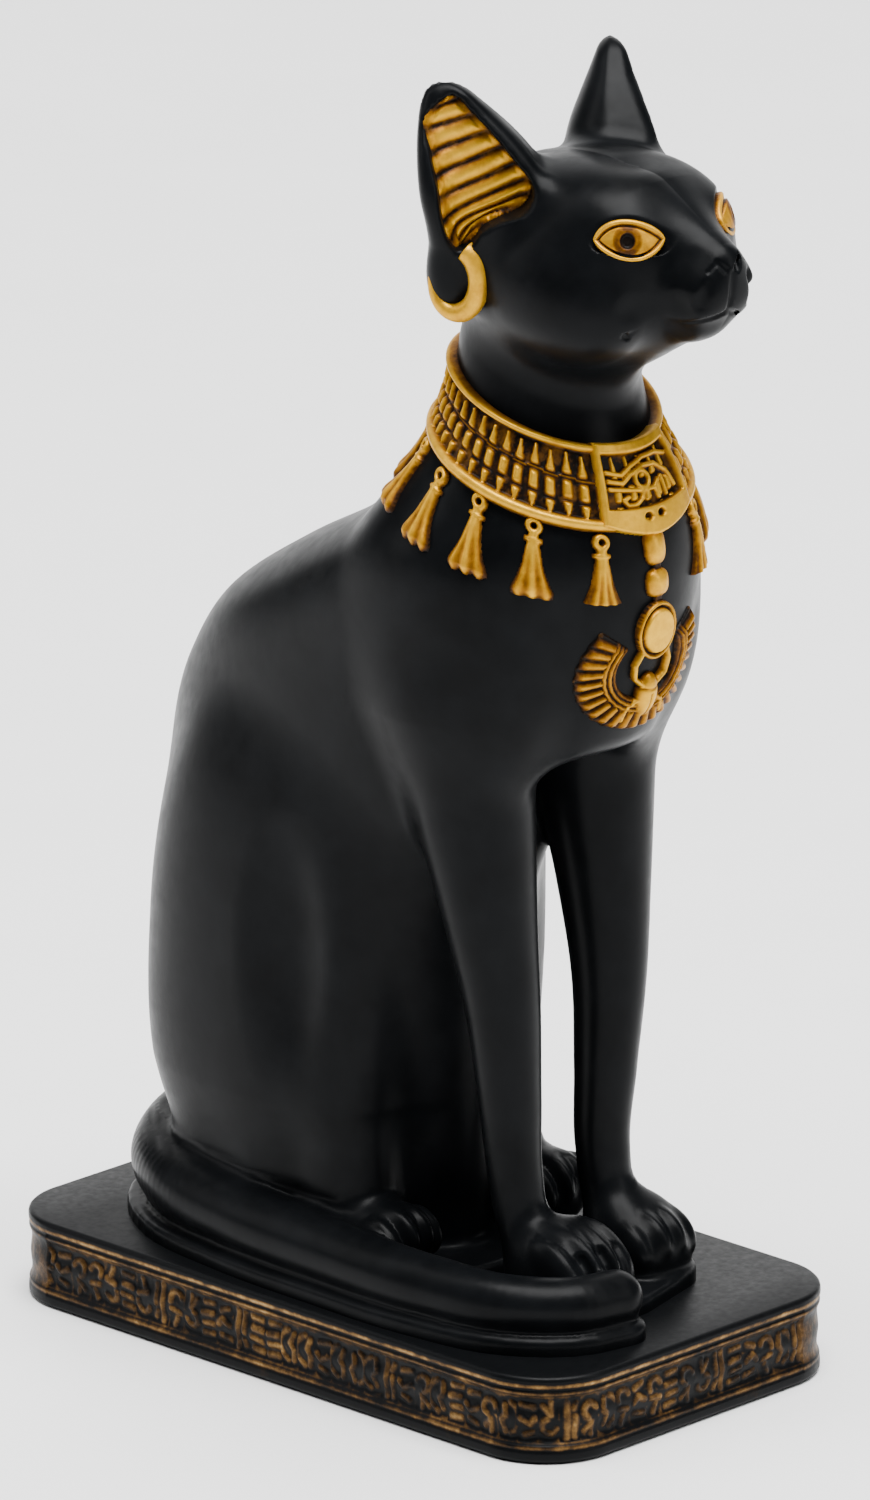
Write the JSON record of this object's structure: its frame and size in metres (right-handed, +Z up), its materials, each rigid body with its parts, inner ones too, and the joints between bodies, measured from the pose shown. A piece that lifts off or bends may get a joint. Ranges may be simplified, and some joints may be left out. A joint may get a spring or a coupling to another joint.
{
  "type": "cat figure",
  "caption": "Seated cat figure with a broad collar, tassels and pendant, cast with its thin sole, on an oblong plinth with a frieze.",
  "frame": {"origin": "middle of the plinth's underside", "axes": "+Z up, the cat faces -Y, its right side is -X"},
  "size_m": [0.0656, 0.1202, 0.2],
  "materials": {
    "figure_paint": "satin black paint on cast resin, relief rubbed with yellow gold",
    "plinth_paint": "black paint on cast resin, sides dry-brushed with bronze"
  },
  "bodies": {
    "root": {"cat": "figure_paint", "plinth": "plinth_paint"}
  },
  "joints": []
}
